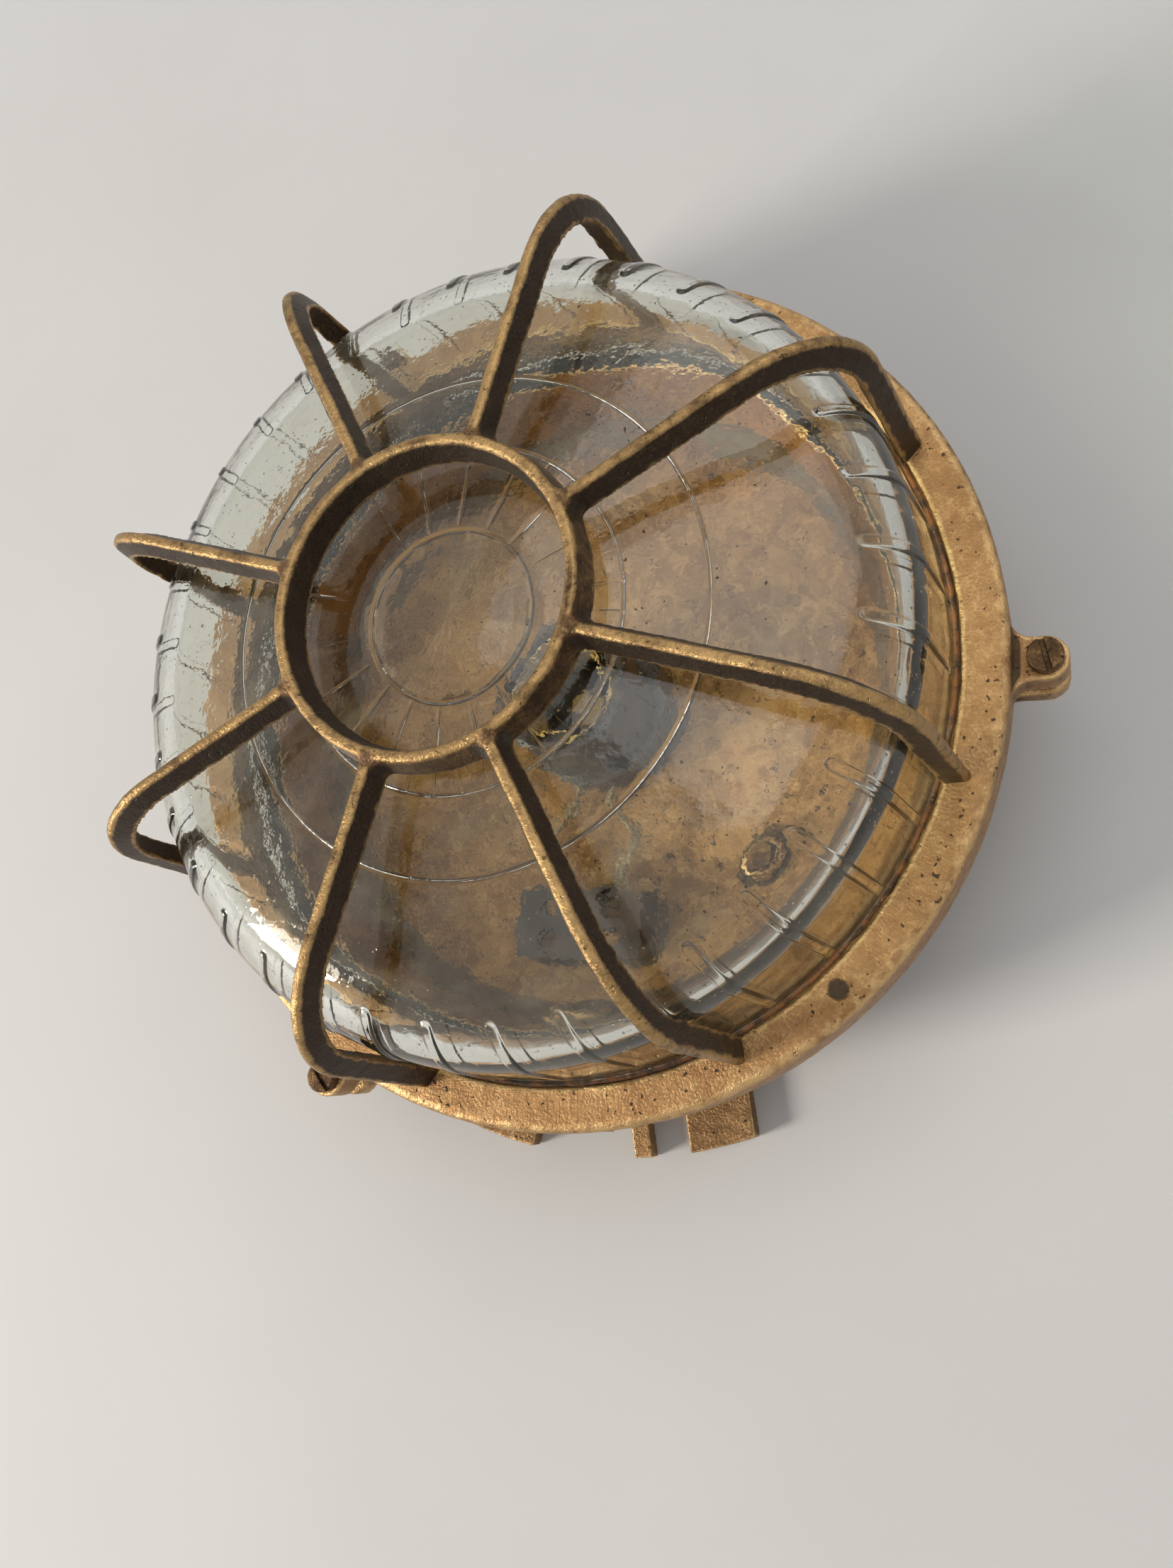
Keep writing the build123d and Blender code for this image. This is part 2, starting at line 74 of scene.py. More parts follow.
camera = bpy.data.objects.new("camera", bpy.data.cameras.new("camera"))
camera.data.lens = 27.667
camera.data.sensor_width = 36
camera.data.clip_start = 0.01
camera.matrix_world = Matrix.Translation(EYE) @ Matrix((RIGHT, UP, BACK)).transposed().to_4x4()
scene.collection.objects.link(camera)
scene.camera = camera
scene.view_settings.view_transform = "Standard"
print("camera", round(EYE.length / MM), "mm from the middle of the back face")

# %% [markdown]
# ## Nodes as arithmetic
#
# Materials and Geometry Nodes are both trees of nodes. Two small classes make them readable:
# `Sheet` adds any node with one method, and `Shade` stands for one output, so that `a * 2 + b`
# makes the Math nodes by itself.

# %% Two classes for node trees
class Shade:
    """One output of a node, with the signs of arithmetic."""

    def __init__(self, sheet, socket):
        self.sheet, self.socket = sheet, socket

    def math(self, operation, left, right=0.0):
        return self.sheet.node("ShaderNodeMath", {"operation": operation}, {0: left, 1: right})

    def __add__(self, other):
        return self.math("ADD", self, other)

    def __sub__(self, other):
        return self.math("SUBTRACT", self, other)

    def __rsub__(self, other):
        return self.math("SUBTRACT", other, self)

    def __mul__(self, other):
        return self.math("MULTIPLY", self, other)

    def __truediv__(self, other):
        return self.math("DIVIDE", self, other)

    def __rtruediv__(self, other):
        return self.math("DIVIDE", other, self)

    def __abs__(self):
        return self.math("ABSOLUTE", self)

    __radd__, __rmul__ = __add__, __mul__


class Sheet:
    """A node tree and the one method that adds a node to it."""

    def __init__(self, tree):
        self.tree = tree
        tree.nodes.clear()

    def node(self, kind, settings=None, sockets=None, output=0):
        made = self.tree.nodes.new(kind)
        for name, value in (settings or {}).items():
            setattr(made, name, value)
        for key, value in (sockets or {}).items():
            if isinstance(value, Shade):
                self.tree.links.new(value.socket, made.inputs[key])
            else:
                made.inputs[key].default_value = value
        return Shade(self, made.outputs[output]) if made.outputs else made


print("node classes ready")

# %% [markdown]
# A few words on top of those: `cloud` is soft noise, `step` turns a value into a smooth 0-to-1
# edge, and `mixed` blends two colours. Every pattern reads the object's own coordinates, so it
# stays on the piece when the piece moves. In metres, a noise of scale 100 has features about
# 10 mm apart.

# %% Words for materials
def colour(code):
    """A web colour such as 'c8a05a', in the linear light that shaders use."""
    parts = [int(code[i:i + 2], 16) / 255 for i in (0, 2, 4)]
    linear = [c / 12.92 if c <= 0.04045 else ((c + 0.055) / 1.055) ** 2.4 for c in parts]
    return (*linear, 1.0)


def cloud(sheet, place, scale, detail=4.0, rough=0.55, twist=0.0):
    return sheet.node("ShaderNodeTexNoise", {}, {
        "Vector": place, "Scale": scale, "Detail": detail, "Roughness": rough, "Distortion": twist})


def step(sheet, value, low, high):
    return sheet.node("ShaderNodeMapRange", {"interpolation_type": "SMOOTHSTEP"},
                      {0: value, 1: low, 2: high})


def mixed(sheet, share, first, second):
    return sheet.node("ShaderNodeMix", {"data_type": "RGBA"}, {0: share, 6: first, 7: second}, 2)


def attribute(sheet, name):
    return sheet.node("ShaderNodeAttribute", {"attribute_name": name}, {}, 2)


def object_place(sheet):
    return sheet.node("ShaderNodeTexCoord", {}, {}, 3)


def bumped(sheet, height, distance, strength=1.0):
    return sheet.node("ShaderNodeBump", {}, {
        "Height": height, "Distance": distance, "Strength": strength})


def new_sheet(name):
    material = bpy.data.materials.new(name)
    material.use_nodes = True
    return material, Sheet(material.node_tree)


def surface(sheet, **sockets):
    """A Principled shader; an underscore in a name stands for a space."""
    return sheet.node("ShaderNodeBsdfPrincipled", {},
                      {name.replace("_", " "): value for name, value in sockets.items()})


def output(sheet, shader):
    sheet.node("ShaderNodeOutputMaterial", {}, {"Surface": shader})


print("web colour 808080 in linear light:", [round(c, 3) for c in colour("808080")])

# %% [markdown]
# ## Floor and studio light
#
# The floor is pale and plain. One soft lamp stands low on the side that the picture was lit
# from, a broad one hangs overhead, and a grey world fills the shadows. Together they bring about as
# much light as makes a colour come out as it was written. Far from the object the floor fades
# into the pale surround, so that no horizon shows; that only changes what a ray sees, not the
# light that falls on the object.

# %% Floor, lamps and world
def add_piece(name, mesh):
    piece = bpy.data.objects.new(name, mesh)
    scene.collection.objects.link(piece)
    return piece


def lamp(name, place, target, size, power, tint):
    data = bpy.data.lights.new(name, "AREA")
    data.size, data.energy, data.color = size, power, tint
    thing = bpy.data.objects.new(name, data)
    thing.location = place
    thing.rotation_euler = (Vector(target) - Vector(place)).to_track_quat("-Z", "Y").to_euler()
    scene.collection.objects.link(thing)


def seen_ray(sheet):
    """1 for what is looked at, directly, in metal or through glass, and 0 for light on surfaces."""
    path = sheet.node("ShaderNodeLightPath").socket.node.outputs
    camera_ray, glossy, through = [Shade(sheet, path[n]) for n in
                                   ("Is Camera Ray", "Is Glossy Ray", "Is Transmission Ray")]
    both = glossy.math("MAXIMUM", glossy, through)
    return camera_ray.math("MAXIMUM", camera_ray, both)


HALF = 9.0
FLOOR_LEVEL = -0.0004
SURROUND = colour("dad8d4")
FADE = 0.28, 0.85

floor_mesh = bpy.data.meshes.new("floor")
floor_mesh.from_pydata([(-HALF, -HALF, 0), (HALF, -HALF, 0), (HALF, HALF, 0), (-HALF, HALF, 0)],
                       [], [(0, 1, 2, 3)])
floor = add_piece("floor", floor_mesh)
floor.location.z = FLOOR_LEVEL
floor_finish, sheet = new_sheet("pale_floor")
place = object_place(sheet)
dust = cloud(sheet, place, 9, 5)
pale = mixed(sheet, dust, colour("d3d0cb"), colour("dddad5"))
near = surface(sheet, Base_Color=pale, Roughness=0.75)
far = sheet.node("ShaderNodeEmission", {}, {"Color": SURROUND})
distance = sheet.node("ShaderNodeVectorMath", {"operation": "LENGTH"}, {0: place}, 1)
away = step(sheet, distance, *FADE) * seen_ray(sheet)
output(sheet, sheet.node("ShaderNodeMixShader", {}, {0: away, 1: near, 2: far}))
floor_mesh.materials.append(floor_finish)

MIDDLE = 0, 0, 0.05
lamp("key", (-1.7, -0.92, 0.95), MIDDLE, size=0.5, power=39.0, tint=(1.0, 0.95, 0.88))
lamp("overhead", (0.35, 0.55, 1.3), MIDDLE, size=1.6, power=8.0, tint=(0.96, 0.98, 1.0))
world = bpy.data.worlds.new("studio")
world.use_nodes = True
sheet = Sheet(world.node_tree)
sky = mixed(sheet, seen_ray(sheet), (0.3, 0.31, 0.33, 1), SURROUND)
background = sheet.node("ShaderNodeBackground", {}, {"Color": sky})
sheet.node("ShaderNodeOutputWorld", {}, {"Surface": background})
scene.world = world
print("two lamps and a grey world")

# %% [markdown]
# ## Old cast brass
#
# Sand-cast brass never comes out flat: the sand leaves a grain, and gas leaves pits. Decades of
# damp turn it brown, darkest in the corners where dirt stays, and hands and tools rub the edges
# back to gold. The shader follows that order: a mottled brown skin, dirt and a breath of green
# by the attribute `hollow`, the dark sides of the ribs by `flank_patina_and_shade`, which is partly
# patina and partly painted shade, bare metal by `wear`, then pits.
# These attributes are measured on the mesh further down. The rim was also filed flat and has one
# deep hole in it, and the inside of the base, under the glass, is painted a lighter, warmer gold:
# painted light, standing for the lamp light that falls in through the dome.

# %% The brass finish
ROOM_WALL = 0.01034, 0.0102
ROOM_FLOOR = 0.0042, 0.0048
RIM_HOLE = Vector((80.3, -80.3, 54.0)) * MM
HOLE_EDGE = 0.0021, 0.0029
VERDIGRIS = colour("66705a")


def axes(sheet, place):
    """X, Y and Z of a point as three values."""
    split = sheet.node("ShaderNodeSeparateXYZ", {}, {0: place}).socket.node
    return [Shade(sheet, socket) for socket in split.outputs]


def brass(name, skin, skin_dark, bare, grime_and_shade, rubbed, filed=0.0, spot=None, room_light=None, sides=0.0):
    """Brass in four web colours; two more paint the inside of the base lighter as painted light,
    and the wall of that inside is given by squares of its radius.
    """
    material, sheet = new_sheet(name)
    place = object_place(sheet)
    patches = cloud(sheet, place, 34, 5, 0.6, 0.4)
    mottle = cloud(sheet, place, 230, 5, 0.7)
    grain = cloud(sheet, place, 1300, 3, 0.6)
    pits = step(sheet, cloud(sheet, place, 520, 2, 0.5), 0.66, 0.72)
    wear, hollow = attribute(sheet, "wear"), attribute(sheet, "hollow")

    tone = step(sheet, patches * 0.45 + mottle * 0.4 + grain * 0.15, 0.4, 0.62)
    base = mixed(sheet, tone, colour(skin_dark), colour(skin))
    # Painted light: inside the base, under the glass, the brass is coloured lighter and warmer,
    # standing for the lamp light that falls in through the dome.
    if room_light:
        x, y, z = axes(sheet, place)
        within = step(sheet, x * x + y * y, *ROOM_WALL) * step(sheet, z, *ROOM_FLOOR)
        lit = mixed(sheet, tone, colour(room_light[0]), colour(room_light[1]))
        base = mixed(sheet, within, base, lit)
    flecks = step(sheet, mottle * 0.5 + grain * 0.5, 0.5, 0.64)
    base = mixed(sheet, flecks * 0.4, base, colour(bare))
    marks = 0.0
    if filed:
        x, y, z = axes(sheet, place)
        turn = x.math("ARCTAN2", y, x)
        strokes = sheet.node("ShaderNodeCombineXYZ", {}, {0: turn * 190, 1: (x * x + y * y) * 700})
        marks = (cloud(sheet, strokes, 1.0, 3, 0.6) - 0.5) * filed
        base = mixed(sheet, step(sheet, marks, 0.0, 0.22) * 0.55, base, colour(bare))
    dirt = step(sheet, hollow * 0.8 + (patches - 0.5) * 1.1 + (mottle - 0.5) * 0.5, 0.16, 0.62)
    base = mixed(sheet, dirt * 0.75, base, colour(grime_and_shade))
    green = hollow * step(sheet, mottle * 0.6 + patches * 0.4, 0.49, 0.62)
    base = mixed(sheet, green * 0.3, base, VERDIGRIS)
    shade = 0.0
    # Painted shade, partly patina: points that don't face away from the middle, such as the sides
    # of the ribs, are darkened towards the grime colour.
    if sides:
        uneven = step(sheet, mottle * 0.5 + patches * 0.5, 0.22, 0.54)
        shade = attribute(sheet, "flank_patina_and_shade") * uneven * sides
        base = mixed(sheet, shade, base, colour(grime_and_shade))
    rub = step(sheet, wear * rubbed + (mottle - 0.5) * 1.3 + (patches - 0.5) * 0.7, 0.35, 1.0)
    base = mixed(sheet, rub * 0.9, base, colour(bare))
    dark = pits * (1 - rub * 0.6)
    if spot:
        gap = sheet.node("ShaderNodeVectorMath", {"operation": "DISTANCE"}, {0: place, 1: spot}, 1)
        ragged = gap + (mottle - 0.5) * 0.0016
        dark = dark.math("MAXIMUM", dark, 1 - step(sheet, ragged, *HOLE_EDGE))
    base = mixed(sheet, dark * 0.9, base, colour(grime_and_shade))

    metal = 0.78 + rub * 0.2 - dirt * 0.35 - dark * 0.4 - shade * 0.3
    rough = 0.47 - rub * 0.08 + dirt * 0.22 + (grain - 0.5) * 0.3
    height = grain * 0.7 + mottle * 0.9 + marks * 0.6 - dark * 1.2
    output(sheet, surface(sheet, Base_Color=base, Metallic=metal, Roughness=rough,
                          Normal=bumped(sheet, height, 0.0005, 0.9)))
    return material


# The cage's sides setting darkens the sides of its ribs: painted shade, partly patina.
cage_brass = brass("cage_brass", "836443", "473320", "b39262", "1e150f", 0.8, sides=0.85)
rim_brass = brass("rim_brass", "ae875a", "936d46", "cfac7a", "2a1d12", 0.8, filed=0.45,
                  spot=RIM_HOLE)
# The base's last two colours are painted light for its inside under the glass.
base_brass = brass("base_brass", "a37f55", "755839", "c8a676", "291d13", 0.8,
                   room_light=("7c5730", "b98c55"))
print("made", cage_brass.name, rim_brass.name, base_brass.name)

# %% [markdown]
# ## The guard and the base as castings
#
# A CAD solid has knife-clean edges. To give it the skin of a casting, a copy is rebuilt from
# small cubes (a voxel remesh), laid back on the solid, smoothed until the edges are as round as the
# sand leaves them, and shaken a little by noise. Each round of smoothing moves the points towards
# their neighbours and then a little farther back, which takes the steps of the cubes away and
# keeps thin ribs thick.
#
# In between the mesh is measured: a point that stands proud of the average of its neighbourhood
# is on an edge and gets rubbed (`wear`), a point that lies below it is in a corner and keeps dirt
# (`hollow`), and one that doesn't face away from the middle of the fitting gets
# `flank_patina_and_shade`, which
# makes it darker: partly patina out of reach of hands, partly painted shade on the sides of the
# ribs.
#
# The guard is one casting, but a level cut just over the rim's flat top splits its copy in two,
# because the ribs need smaller cubes than the rim. The ribs' feet reach a little into the rim.

# %% Measure a mesh with arrays
def read(items, name, width):
    values = np.empty(len(items) * width, np.float32)
    items.foreach_get(name, values)
    return values.reshape(-1, width).astype(float)


def neighbour_average(mesh, values, rounds):
    ends = np.empty(len(mesh.edges) * 2, np.int32)
    mesh.edges.foreach_get("vertices", ends)
    first, second = ends.reshape(-1, 2).T
    count = np.bincount(ends, minlength=len(values))
    for _ in range(rounds):
        total = np.stack([np.bincount(first, column[second], len(values))
                          + np.bincount(second, column[first], len(values))
                          for column in values.T], 1)
        values = total / count[:, None]
    return values


def store(mesh, name, values):
    mesh.attributes.new(name, "FLOAT", "POINT").data.foreach_set("value", values.astype(np.float32))


def plain_mesh(piece, name):
    """The piece's shape after its modifiers, as a mesh of its own."""
    ready = piece.evaluated_get(bpy.context.evaluated_depsgraph_get())
    mesh = bpy.data.meshes.new_from_object(ready)
    mesh.name = name
    piece.modifiers.clear()
    piece.data = mesh
    return mesh


print("numpy", np.__version__)

# %% [markdown]
# Two more cuts use a Boolean with a square ring: the feet are parted from the dish, so that they
# keep crisp corners. A screw is turned on its own axis, because the last person to tighten it left
# its slot at some odd angle. Its thread is cut into the finished points with arrays, a little
# deeper than the crests need, so that the shank runs free in the rough holes of the lugs.

# %% Closed copies of CAD nodes
def ring_tool(inner, outer, low, high, sides=120):
    corners = [(inner, low), (outer, low), (outer, high), (inner, high)]
    points = [(r * cos(2 * pi * i / sides), r * sin(2 * pi * i / sides), z)
              for i in range(sides) for r, z in corners]
    faces = [[4 * i + j, 4 * i + (j + 1) % 4, (4 * i + 4) % (4 * sides) + (j + 1) % 4,
              (4 * i + 4) % (4 * sides) + j] for i in range(sides) for j in range(4)]
    mesh = bpy.data.meshes.new("ring_tool")
    mesh.from_pydata(points, [], faces)
    work = bmesh.new()
    work.from_mesh(mesh)
    bmesh.ops.recalc_face_normals(work, faces=work.faces)
    work.to_mesh(mesh)
    work.free()
    return mesh


def carve(mesh, tool, operation):
    piece, other = add_piece("carved", mesh), add_piece("tool", tool)
    cut = piece.modifiers.new("cut", "BOOLEAN")
    cut.operation, cut.object, cut.solver = operation, other, "EXACT"
    result = plain_mesh(piece, mesh.name)
    bpy.data.objects.remove(piece)
    bpy.data.objects.remove(other)
    return result


def solid_copy(node, level=None, upper=True, sink=0.0):
    """A closed copy of a CAD node, or only its part over or under a level."""
    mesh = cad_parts[node].data.copy()
    mesh.materials.clear()
    work = bmesh.new()
    work.from_mesh(mesh)
    bmesh.ops.remove_doubles(work, verts=work.verts, dist=1e-6)
    if level is not None:
        bmesh.ops.bisect_plane(work, geom=work.verts[:] + work.edges[:] + work.faces[:], dist=1e-7,
                               plane_co=(0, 0, level), plane_no=(0, 0, 1),
                               clear_inner=upper, clear_outer=not upper)
        bmesh.ops.holes_fill(work, edges=[e for e in work.edges if e.is_boundary])
        for point in work.verts:
            if abs(point.co.z - level) < 1e-6:
                point.co.z -= sink
    work.to_mesh(mesh)
    work.free()
    return mesh


def turned_copy(node, angle):
    """A copy of a CAD screw, turned about its own upright axis."""
    mesh = solid_copy(node)
    low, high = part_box(node)
    axis = Matrix.Translation(((low.x + high.x) / 2, (low.y + high.y) / 2, 0))
    mesh.transform(axis @ Matrix.Rotation(radians(angle), 4, "Z") @ axis.inverted())
    return mesh


print("ring tool with", len(ring_tool(1, 2, 0, 1).polygons), "faces")

# %% Cut a thread
CORE, CORE_FADE = 1.9 * MM, 0.4 * MM
AXIS_GUARD = 0.1 * MM


def cut_thread(spots, pitch, depth, slack, head):
    """Cut a screw's shank inwards along a winding groove, from under its head to its end."""
    middle = (spots.max(0) + spots.min(0)) / 2
    x, y = (spots - middle)[:, :2].T
    out = np.hypot(x, y)
    turns = spots[:, 2] / pitch - np.arctan2(y, x) / (2 * pi)
    groove = np.abs(2 * (turns % 1) - 1) * depth + slack
    groove *= np.clip((out - CORE) / CORE_FADE, 0, 1)
    groove *= np.clip((spots[:, 2].max() - head - spots[:, 2]) / pitch, 0, 1)
    spots[:, :2] -= (spots - middle)[:, :2] * (groove / np.maximum(out, AXIS_GUARD))[:, None]


print("threads keep a core of", CORE / MM, "mm")

# %% Turn the copies into castings
INWARD, BACKWARD = 0.5, -0.53
FULL_WEAR, FULL_HOLLOW = 0.22, 0.2
HEART = 0, 0, 40 * MM
FACING_OUT, FACING_FADE = 0.75, 0.4
SAND = (120, 1.0), (380, 0.5), (900, 0.3)


def casting(name, node, mesh, body, finish, voxel, rounds, reach, shake, thread=None):
    """Rebuild a mesh with a cast skin: cubes of `voxel`, edges measured over `reach` neighbours."""
    solid = BVHTree.FromPolygons([p.co for p in mesh.vertices], [f.vertices for f in mesh.polygons])
    piece = add_piece(name, mesh)
    remesh = piece.modifiers.new("cubes", "REMESH")
    remesh.mode, remesh.voxel_size = "VOXEL", voxel
    mesh = plain_mesh(piece, name)

    spots = np.array([solid.find_nearest(Vector(p))[0] for p in read(mesh.vertices, "co", 3)])
    for share in (INWARD, BACKWARD) * rounds:
        spots += (neighbour_average(mesh, spots, 1) - spots) * share
    mesh.vertices.foreach_set("co", spots.astype(np.float32).ravel())
    mesh.update()
    normals = read(mesh.vertex_normals, "vector", 3)
    proud = ((spots - neighbour_average(mesh, spots, reach)) * normals).sum(1) / MM
    store(mesh, "wear", np.clip(proud / FULL_WEAR, 0, 1))
    store(mesh, "hollow", np.clip(-proud / FULL_HOLLOW, 0, 1))
    # Which way a point faces, for the painted shade on the sides of the ribs, which is partly
    # patina.
    away = spots - HEART
    facing = (normals * away).sum(1) / np.linalg.norm(away, axis=1)
    store(mesh, "flank_patina_and_shade", np.clip((FACING_OUT - facing) / FACING_FADE, 0, 1))
    lift = [sum(noise.noise(Vector(p) * scale) * share for scale, share in SAND) for p in spots]
    spots += normals * (np.array(lift) * shake)[:, None]
    if thread:
        cut_thread(spots, *thread)
    mesh.vertices.foreach_set("co", spots.astype(np.float32).ravel())
    mesh.shade_smooth()
    mesh.materials.append(finish)
    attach(piece, body)
    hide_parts(node)
    print(name, len(mesh.polygons), "faces; rubbed share", round(float((proud > 0.15).mean()), 3))
    return piece


OVER_RIM, ROOT = 54.02 * MM, 1.5 * MM
FEET_FROM, FEET_ROOT = 0.1032, 0.1029
FEET_SPACE = 0.15, -0.002, 0.0056

ribs = solid_copy("guard_casting", OVER_RIM, True, ROOT)
casting("guard_cage", "guard_casting", ribs, "guard", cage_brass,
        voxel=0.62 * MM, rounds=7, reach=7, shake=0.16 * MM)
rim = solid_copy("guard_casting", OVER_RIM, False)
casting("guard_rim", "guard_casting", rim, "guard", rim_brass,
        voxel=0.72 * MM, rounds=10, reach=6, shake=0.07 * MM)
dish = carve(solid_copy("base_casting"), ring_tool(FEET_FROM, *FEET_SPACE), "DIFFERENCE")
casting("base_dish", "base_casting", dish, "base", base_brass,
        voxel=1.28 * MM, rounds=5, reach=4, shake=0.08 * MM)
feet = carve(solid_copy("base_casting"), ring_tool(FEET_ROOT, *FEET_SPACE), "INTERSECT")
casting("base_feet", "base_casting", feet, "base", base_brass,
        voxel=0.5 * MM, rounds=8, reach=5, shake=0.08 * MM)

SCREW_THREAD = 0.8 * MM, 0.3 * MM, 0.2 * MM, 3.5 * MM
screw_finish = brass("screw_brass", "6f5132", "3b291a", "a98a5a", "1a120c", 0.8)
for number, angle in ((1, 14), (2, 35), (3, -20)):
    node = f"cover_screw_{number}"
    casting(f"screw_{number}", node, turned_copy(node, angle), node, screw_finish,
            voxel=0.16 * MM, rounds=8, reach=8, shake=0.02 * MM, thread=SCREW_THREAD)

# %% [markdown]
# ## The pressed glass
#
# The dome is pressed in an iron mould, so its skin is a turned shape with marks: short finger
# beads all round the shoulder, which throw the light sideways, and fine rings and ticks on the
# inside. The turned shape is computed here from the same three curves as the CAD dome: a shallow
# crown, a round shoulder, a side that leans in a little. Points are set close together only where
# a mark will need them.

# %% The turned shape of the dome
CROWN, SHOULDER, LEAN = 360.0, 25.0, radians(5.5)
SIDE, RIM_TOP, TOP, WALL = 107.2, 54.0, 115.0, 6.0
FOOT, FOOT_TOP, FOOT_UNDER = 113.0, 45.0, 39.0
RINGS = (20.6, 0.8, 1.2), (42.0, 0.5, 0.8), (61.0, 0.5, 0.8)


def dome_line(inset, radii, arc_steps, levels):
    """Points (radius, height) down one skin: on the crown, round the shoulder, down the side."""
    crown, shoulder = CROWN - inset, SHOULDER - inset
    middle = TOP - CROWN
    inward = np.array((-cos(LEAN), -sin(LEAN)))
    along = np.array((-sin(LEAN), cos(LEAN)))
    start = np.array((SIDE, RIM_TOP)) + inward * SHOULDER
    gap = start - (0, middle)
    half, rest = gap @ along, gap @ gap - (CROWN - SHOULDER) ** 2
    centre = start + along * (sqrt(half * half - rest) - half)
    top = np.arctan2(centre[1] - middle, centre[0])
    turns = np.linspace(top, LEAN, arc_steps)
    edge = crown * cos(top)
    line = [(r, middle + sqrt(crown ** 2 - r * r)) for r in radii if r < edge - 0.5]
    line += [tuple(centre + shoulder * np.array((cos(a), sin(a)))) for a in turns]
    line += [(SIDE - inset / cos(LEAN) - (z - RIM_TOP) * tan(LEAN), z) for z in levels]
    return line


def close_rows(*places, reach=1.0):
    """Seven rows close together round each place, for a mark that needs them."""
    return [p + d * reach for p in places for d in (-1.1, -0.6, -0.3, 0, 0.3, 0.6, 1.1)]


outer = dome_line(0, [5, 10, 16, 22, 28, 34, 40, 46, 52, 58, 64, 70, 76, 81], 58,
                  [77, 73, 69, 65, 61, 57, 53, 49, FOOT_TOP + 0.3])
edge = [(SIDE + 1.1, FOOT_TOP), (FOOT - 0.6, FOOT_TOP), (FOOT - 0.15, FOOT_TOP - 0.2),
        (FOOT, FOOT_TOP - 0.7), (FOOT, FOOT_UNDER + 0.6), (FOOT - 0.2, FOOT_UNDER + 0.1),
        (FOOT - 0.7, FOOT_UNDER), (SIDE - WALL + 2.2, FOOT_UNDER)]
inner_radii = sorted([4, 8, 12, 16, 24.5, 27, 30, 33, 36, 37.5, 46, 50, 54, 57, 64, 68, 73, 78]
                     + close_rows(RINGS[0][0]) + close_rows(RINGS[1][0], RINGS[2][0], reach=0.7))
inner = dome_line(WALL, inner_radii, 16, [75, 67, 60, 53, 46, 40.5])[::-1]
line = np.array(outer + edge + inner)
skin = np.array([1.0] * len(outer) + [0.0] * len(edge) + [-1.0] * len(inner))
print(len(line), "points on the outline, of which", len(outer), "on the outer skin; widest at",
      round(float(line[:, 0].max()), 1), "mm")

# %% [markdown]
# The outline is turned round the axis in columns. The 36 beads stand 10 degrees apart, so each
# group of columns is dense across one bead and wide in between. Each point also keeps what the
# next step needs: its angle `around`, its distance `out` from the axis, its height `up` and its
# `side` of the wall.

# %% Turn the outline
BEADS, FIRST_BEAD = 36, 7.7
offsets = [-1, -0.91, -0.82, -0.73, -0.64, -0.35, 0, 0.35, 0.64, 0.73, 0.82, 0.91, 1,
           2.4, 4.1, 5.9, 7.6]
degrees = np.array([FIRST_BEAD + 360 / BEADS * k + d for k in range(BEADS) for d in offsets])


def turned(name, line, skin, degrees, poles=()):
    """An outline turned round the axis: a dome with two poles, or else a closed ring."""
    turn = np.radians(degrees)
    rows, columns = len(line), len(degrees)
    grid = np.stack([np.outer(line[:, 0], np.cos(turn)), np.outer(line[:, 0], np.sin(turn)),
                     np.repeat(line[:, 1:2], columns, 1)], 2).reshape(-1, 3)
    number = np.arange(rows * columns).reshape(rows, columns)
    if not poles:
        number = np.vstack([number, number[:1]])
    beside = np.roll(number, -1, 1)
    faces = np.stack([number[:-1], number[1:], beside[1:], beside[:-1]], 2).reshape(-1, 4).tolist()
    if poles:
        faces += [(rows * columns, int(a), int(b)) for a, b in zip(number[0], beside[0])]
        faces += [(rows * columns + 1, int(b), int(a)) for a, b in zip(number[-1], beside[-1])]
    points = grid.tolist() + [(0, 0, z) for z in poles]
    mesh = bpy.data.meshes.new(name)
    mesh.from_pydata((np.array(points) * MM).tolist(), [], faces)
    still = [0.0] * len(poles)
    store(mesh, "around", np.append(np.tile(degrees, rows), still))
    store(mesh, "out", np.append(np.repeat(line[:, 0], columns), still))
    store(mesh, "up", np.append(np.repeat(line[:, 1], columns), poles))
    store(mesh, "side", np.append(np.repeat(skin, columns), [1.0, -1.0][:len(poles)]))
    mesh.shade_smooth()
    return add_piece(name, mesh)


glass = turned("glass", line, skin, degrees, (TOP, TOP - WALL))
print("dome with", len(glass.data.polygons), "faces")

# %% [markdown]
# Geometry Nodes press the marks in. Each mark is a height over the plain skin, worked out from
# the stored values: how far a point is from the nearest bead, from a ring, from a tick. The sum
# moves the point along its normal, and a little noise makes the glass wavy. The counts and
# heights are the tree's inputs, so a different mould is a matter of other numbers.

# %% A tree of named inputs
def geometry_sheet(name, inputs):
    tree = bpy.data.node_groups.new(name, "GeometryNodeTree")
    sheet = Sheet(tree)
    tree.interface.new_socket("Geometry", in_out="INPUT", socket_type="NodeSocketGeometry")
    tree.interface.new_socket("Geometry", in_out="OUTPUT", socket_type="NodeSocketGeometry")
    for label, value in inputs.items():
        kind = "NodeSocketMaterial" if isinstance(value, bpy.types.Material) else "NodeSocketFloat"
        tree.interface.new_socket(label, in_out="INPUT", socket_type=kind)
    entry = tree.nodes.new("NodeGroupInput")
    return tree, sheet, {s.name: Shade(sheet, s) for s in entry.outputs if s.name}


def geometry_end(sheet, shape, material):
    shape = sheet.node("GeometryNodeRealizeInstances", {}, {0: shape})
    shape = sheet.node("GeometryNodeSetMaterial", {}, {"Geometry": shape, "Material": material})
    sheet.node("NodeGroupOutput", {"is_active_output": True}, {0: shape})


